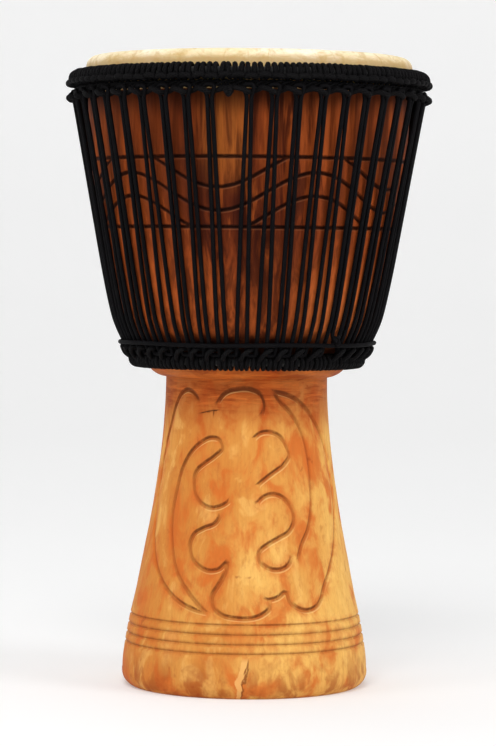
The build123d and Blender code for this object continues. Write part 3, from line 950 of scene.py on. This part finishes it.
def skin_head(material):
    """Head: one closed skin, flat on top, rolled over the rim and folded round the flesh ring."""
    flat = RIM_RADIUS - RIM_ROUND
    inner = RIM_RADIUS + SKIN_GAP
    outer = inner + SKIN_THICKNESS
    low, high = RIM_Z + SKIN_GAP, RIM_Z + SKIN_GAP + SKIN_THICKNESS
    half = math.sqrt(0.5)
    spread = [7, 20, 36, 52, 68, 84, 100, 114, 126, 136]
    fold_centre = outer + FOLD_RADIUS
    fold_outer = FOLD_RADIUS + SKIN_THICKNESS
    roll_out, roll_in = RIM_ROUND + SKIN_GAP + SKIN_THICKNESS, RIM_ROUND + SKIN_GAP
    top = [(r, high) for r in spread]
    roll = arc((flat, high), (flat + roll_out * half, WALL_TOP_Z + roll_out * half), (outer, WALL_TOP_Z), 1.6)
    inner_wall = line((outer, WALL_TOP_Z - 2.4), (outer, FLESH_RING_Z + 2.4), 2.4)
    around = np.radians(np.linspace(180, 450, 14))
    inside_fold = np.c_[fold_centre + FOLD_RADIUS * np.cos(around), FLESH_RING_Z + FOLD_RADIUS * np.sin(around)]
    outside_fold = np.c_[fold_centre + fold_outer * np.cos(around), FLESH_RING_Z + fold_outer * np.sin(around)]
    back_wall = line((inner, FLESH_RING_Z + 2.4), (inner, WALL_TOP_Z - 2.4), 2.4)
    back_roll = arc((inner, WALL_TOP_Z), (flat + roll_in * half, WALL_TOP_Z + roll_in * half), (flat, low), 1.6)
    under = [(r, low) for r in spread[::-1]]
    profile = np.vstack([top, roll, inner_wall, inside_fold, outside_fold[::-1], back_wall, back_roll, under])
    angles = np.arange(STEPS_ROUND_SKIN) * 360 / STEPS_ROUND_SKIN
    mesh = Build()
    steps = np.arange(STEPS_ROUND_SKIN)
    after = np.roll(steps, -1)
    turn = np.radians(angles)
    pleat = np.sin(turn * 66) * 0.6 + np.sin(turn * 41 + 1.3) * 0.4
    for i, (radius, z) in enumerate(profile):
        sag = np.clip((WALL_TOP_Z - z) / 14, 0, 1) * PLEAT_DEPTH
        wave = np.array([noise.noise(Vector((math.cos(t) * radius, math.sin(t) * radius, 0)) * 0.02)
                         for t in turn]) * HEAD_WAVE * (1 if z > RIM_Z else 0)
        r = radius + pleat * sag
        mesh.add(np.c_[r * np.sin(turn), -r * np.cos(turn), z + wave], [])
        if i:
            mesh.join(i * STEPS_ROUND_SKIN, (i - 1) * STEPS_ROUND_SKIN, STEPS_ROUND_SKIN)
    centre_top, centre_under = mesh.count, mesh.count + 1
    mesh.add([(0, 0, high), (0, 0, low)], [])
    end = (len(profile) - 1) * STEPS_ROUND_SKIN
    mesh.faces += [(centre_top, int(a), int(b)) for a, b in zip(steps, after)]
    mesh.faces += [(centre_under, int(end + b), int(end + a)) for a, b in zip(steps, after)]
    return mesh.make("goat_skin_head", material)


# ---------------------------------------------------------------- ropes

def pair_angles(right, left):
    """Angles of all the pairs of strands, from the front round to the right."""
    count = PAIRS - len(right) - len(left)
    step = (left[0] + 360 - right[-1]) / (count + 1)
    return right + [right[-1] + step * (i + 1) for i in range(count)] + [a + 360 for a in left]


def ring_line(node):
    """Radius and height of the line of a round CAD ring that lies flat."""
    low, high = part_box(node)
    section = (high.z - low.z) / 2
    return ((high.x - low.x) / 2 - section) / MM, (high.z + low.z) / 2 / MM


def neighbours(angles, i):
    """Angles half-way to the pair before and to the pair after."""
    before = angles[i - 1] - (360 if i == 0 else 0)
    after = angles[(i + 1) % len(angles)] + (360 if i + 1 == len(angles) else 0)
    return (before + angles[i]) / 2, (angles[i] + after) / 2


def half_unit(bottom, top, side, knotted):
    """Route of one strand, up from its bottom turn or from the tail knot to its top turn."""
    foot, head = bottom - side * BOTTOM_SPREAD, top + side * PINCH_SPREAD
    low, high = BOTTOM_TURN[1], WALL_LINE[-1][1]
    points = [polar(foot + (head - foot) * (z - low) / (high - low), r, z) for r, z in BELLY_LINE + WALL_LINE]
    points.append(polar(head, *PINCH))
    points += [polar(top + side * TOP_SPREAD, r, z) for r, z in TOP_TURN_LINE]
    if knotted:
        return [polar(bottom - side * 0.9, *TAIL_KNOT), polar(foot, *STRAND_END)] + points
    return [polar(bottom, *BOTTOM_TURN), polar(foot, *BOTTOM_TURN), polar(foot, *STRAND_FOOT)] + points


def rope_route(top, bottom):
    """Points of the whole tension rope, laced right round the drum from the tail knot back to it."""
    route = []
    for step in range(PAIRS):
        i = (TAIL_PAIR + 1 + step) % PAIRS
        turn = 360 if i <= TAIL_PAIR else 0
        before = bottom[i - 1] + turn - (360 if i == 0 else 0)
        up = half_unit(before, top[i] + turn, -1, step == 0)
        down = half_unit(bottom[i] + turn, top[i] + turn, 1, step == PAIRS - 1)
        route += (up if step == 0 else up[1:]) + down[::-1]
    return route


def tension_rope(top, bottom, material):
    """The whole laced rope as one braided cord."""
    return cords("laced_tension_rope", nurbs([rope_route(top, bottom)], 6), ROPE_BODY, 10, material)


def spare_turn(bottom, material):
    """Spare rope wound once round the strands; both ends go into the tail knot."""
    radius, z = SPARE_TURN
    start = bottom[TAIL_PAIR] + SPARE_GAP * 0.4
    angles = np.linspace(start, start + 360 - SPARE_GAP * 0.8, 260)
    path = [polar(a, radius + 0.25 * math.sin(math.radians(a) * 22), z + 0.5 * math.sin(math.radians(a) * 5))
            for a in angles]
    return cords("spare_rope_wind", [path], ROPE_BODY, 12, material)


def hitch_turn(ring, offset, lean, size):
    """One turn of cradle cord round a ring at the front, leaning a little along it."""
    turn = np.arange(20) * 2 * math.pi / 20
    out, up = np.cos(turn) * HITCH_RADIUS * size, np.sin(turn) * HITCH_RADIUS * size
    return np.c_[offset + lean * np.sin(turn), -ring[0] - out, ring[1] + up]


def crown_hitches(ring, material):
    """Cow hitches round the crown ring: two turns of cord under a short crossing bar."""
    mesh = Build()
    routes, spins = [], []
    for i in range(CROWN_HITCHES):
        angle = CROWN_HITCH_START + 360 / CROWN_HITCHES * i + draw.uniform(-0.14, 0.14)
        for offset in CROWN_TURNS:
            lean = draw.uniform(-0.9, 0.9)
            path = hitch_turn(ring, offset + draw.uniform(-0.3, 0.3), lean, draw.uniform(0.96, 1.05))
            mesh.add(*tube(turned(path, angle), CROWN_CORD_RADIUS, 8, closed=True))
        tip = draw.uniform(-0.5, 0.5)
        drop = BAR_DROP + draw.uniform(-0.6, 0.5)
        routes.append([(x, -ring[0] - out, ring[1] + up + drop + tip * x / 5) for x, out, up in CROWN_BAR])
        spins.append(angle)
    for path, angle in zip(nurbs(routes, 4), spins):
        mesh.add(*tube(turned(path, angle), CROWN_CORD_RADIUS, 8))
    return mesh.make("crown_cow_hitches", material)


def bottom_hitches(ring, material):
    """Hitches round the bottom ring: three turns of cord side by side."""
    paths = []
    for i in range(BOTTOM_HITCHES):
        angle = BOTTOM_HITCH_START + 360 / BOTTOM_HITCHES * i + draw.uniform(-0.2, 0.2)
        for offset in BOTTOM_TURNS:
            path = hitch_turn(ring, offset, draw.uniform(-0.5, 0.5), draw.uniform(0.985, 1.03))
            paths.append(turned(path, angle))
    return cords("bottom_wound_hitches", paths, BOTTOM_CORD_RADIUS, 8, material, closed=True)


def crown_run(ring, material):
    """Cradle cord's run round the drum under the crown hitches: three strands wound together."""
    low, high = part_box("crown_cord_run")
    angles = np.linspace(0, 360, 534, endpoint=False)
    section = (high.z - low.z) / 2 / MM
    paths = []
    for strand in range(3):
        twist = np.radians(angles) * CROWN_HITCHES / 2 + strand * math.pi * 2 / 3
        paths.append([polar(a, ring[0] + RUN_TWIST[0] * math.cos(t),
                            ring[1] - RUN_DROP + RUN_TWIST[1] * math.sin(t)) for a, t in zip(angles, twist)])
    return cords("crown_cord_run_cord", paths, section, 8, material, closed=True)


def crown_loops(top, material):
    """Cradle cord hanging under the crown ring in a wave, one loop through each top turn of the rope."""
    route = []
    for i, angle in enumerate(top):
        left = neighbours(top, i)[0]
        lift = draw.uniform(-0.5, 0.5)
        route += [polar(left, 168.8, 563.1 + lift), polar(angle - 2.6, 172.3, 561.9 + lift * 0.5),
                  polar(angle - 0.1, 173.1, 558.8), polar(angle + 0.1, 162.7, 559.0),
                  polar(angle + 3.0, 165.2, 561.4)]
    return cords("crown_loop_cord", nurbs([route], 5, cyclic=True), CROWN_CORD_RADIUS, 9, material, closed=True)


def bottom_loops(bottom, material):
    """Loops standing on the bottom ring, one through each bottom turn of the rope."""
    routes = []
    for i, angle in enumerate(bottom):
        if i == TAIL_PAIR:
            continue
        left = neighbours(bottom, i)[0]
        sway = draw.uniform(-0.25, 0.25)
        routes.append([polar(left - 0.7, 112.4, 314.8), polar(left, 116.4, 317.2),
                       polar(angle - 2.8 + sway, 119.2, 321.8), polar(angle - 0.1, 120.3, 325.0),
                       polar(angle + 0.1, 109.8, 325.2), polar(angle + 2.6, 108.3, 323.0),
                       polar(angle + 3.3, 107.6, 318.8)])
    return cords("bottom_loop_cord", nurbs(routes, 5), BOTTOM_CORD_RADIUS, 9, material)


def knot(name, angle, place, half, cord_radius, material):
    """Pulled-tight knot: a cord that winds through itself, as wide, deep and high as twice the halves."""
    t = np.linspace(0, 2 * math.pi, 72, endpoint=False)
    path = np.c_[np.sin(t) + 2 * np.sin(2 * t), np.sin(3 * t), np.cos(t) - 2 * np.cos(2 * t)]
    room = np.array(half) - cord_radius * 0.92
    path = (path - (path.max(0) + path.min(0)) / 2) / (np.ptp(path, axis=0) / 2) * room
    path = turned(path + (0, -place[0], place[1]), angle)
    return cords(name, [path], cord_radius, 10, material, closed=True)


# ---------------------------------------------------------------- studio

def studio():
    """Pale floor that rises into a wall all round, a soft sky and four soft lights."""
    count = 96
    points, faces = [], []
    for i, (radius, z) in enumerate(STUDIO_PROFILE):
        for k in range(count):
            points.append(polar(360 * k / count, radius, z))
            if i:
                a, b, m = (i - 1) * count, i * count, (k + 1) % count
                faces.append((a + k, b + k, b + m, a + m))
    faces.append(tuple(range(count)))
    mesh = bpy.data.meshes.new("studio")
    mesh.from_pydata([tuple(p) for p in points], [], faces)
    mesh.polygons.foreach_set("use_smooth", [True] * len(mesh.polygons))
    mesh.materials.append(studio_material("studio_paper", (226, 226, 226), 0.9))
    sweep = placed("studio", mesh)

    world = bpy.data.worlds.new("soft_sky")
    world.use_nodes = True
    sky = world.node_tree.nodes["Background"]
    sky.inputs["Color"].default_value = (1.0, 1.0, 1.0, 1.0)
    sky.inputs["Strength"].default_value = WORLD_STRENGTH
    bpy.context.scene.world = world
    for name, place, size, power in LIGHTS:
        lamp = bpy.data.lights.new(name, "AREA")
        lamp.shape = "SQUARE"
        lamp.size = size
        lamp.energy = power
        holder = placed(name, lamp)
        holder.location = place
        holder.rotation_euler = (Vector(LIGHTS_AIM) - Vector(place)).to_track_quat("-Z", "Y").to_euler()


def camera():
    """Long lens at bowl height, tipped down a little and rolled a little, as a hand holds it."""
    lens = bpy.data.cameras.new("camera")
    lens.sensor_width = 36.0
    lens.lens = CAMERA_LENS
    lens.clip_end = 60.0
    holder = placed("camera", lens)
    holder.location = CAMERA_PLACE
    level = Euler((math.radians(90 - CAMERA_TIP), 0, 0)).to_quaternion()
    holder.rotation_mode = "QUATERNION"
    holder.rotation_quaternion = level @ Quaternion((0, 0, 1), math.radians(CAMERA_ROLL))
    bpy.context.scene.camera = holder


def paint(node, material):
    """A CAD node keeps its shape and takes a procedural material."""
    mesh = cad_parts[node].data
    mesh.materials.clear()
    mesh.materials.append(material)


def main():
    wood, skin = wood_material(), skin_material()
    cradle = cord_material("black_cord", (1, 1, 2), (18, 17, 18), 6, 3.4)
    rope = cord_material("black_rope", (1, 1, 2), (15, 14, 16), 6, 3.0)
    steel, wrap = steel_material(), wrap_material()
    top, bottom = pair_angles(TOP_RIGHT, TOP_LEFT), pair_angles(BOTTOM_RIGHT, BOTTOM_LEFT)

    made = [
        (carved_shell(wood), "drum", "carved_wood", "shell"),
        (crown_hitches(ring_line("crown_ring"), cradle), "crown", "black_cord", "crown_hitches"),
        (crown_run(ring_line("crown_cord_run"), cradle), "crown", "black_cord", "crown_cord_run"),
        (crown_loops(top, cradle), "crown", "black_cord", "crown_loops"),
        (knot("crown_closing_knot", CROWN_KNOT_ANGLE, CROWN_KNOT, CROWN_KNOT_HALF, CRADLE_RADIUS, cradle),
         "crown", "black_cord", "crown_knot"),
        (bottom_hitches(ring_line("bottom_ring"), cradle), "drum", "black_cord", "bottom_hitches"),
        (bottom_loops(bottom, cradle), "drum", "black_cord", "bottom_loops"),
        (spare_turn(bottom, rope), "drum", "black_rope", "spare_rope_turn"),
        (knot("tail_end_knot", bottom[TAIL_PAIR], TAIL_KNOT, TAIL_KNOT_HALF, ROPE_RADIUS, rope),
         "drum", "black_rope", "tail_knot"),
    ]
    for piece, body, slot, node in made:
        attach(piece, body)
        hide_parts(node)

    head = skin_head(skin)
    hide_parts("drumhead_skin")
    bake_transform(head)

    lacing = tension_rope(top, bottom, rope)
    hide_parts("tension_rope")
    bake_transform(lacing)

    for node in ("flesh_ring", "crown_ring", "bottom_ring"):
        paint(node, steel)
    strips = (("crown_ring_wrap", "crown_ring", 1.034), ("bottom_ring_wrap", "bottom_ring", 0.663))
    for node, ring, length in strips:
        paint(node, wrap)
    studio()
    camera()
    bpy.context.scene.view_settings.view_transform = "Standard"


main()
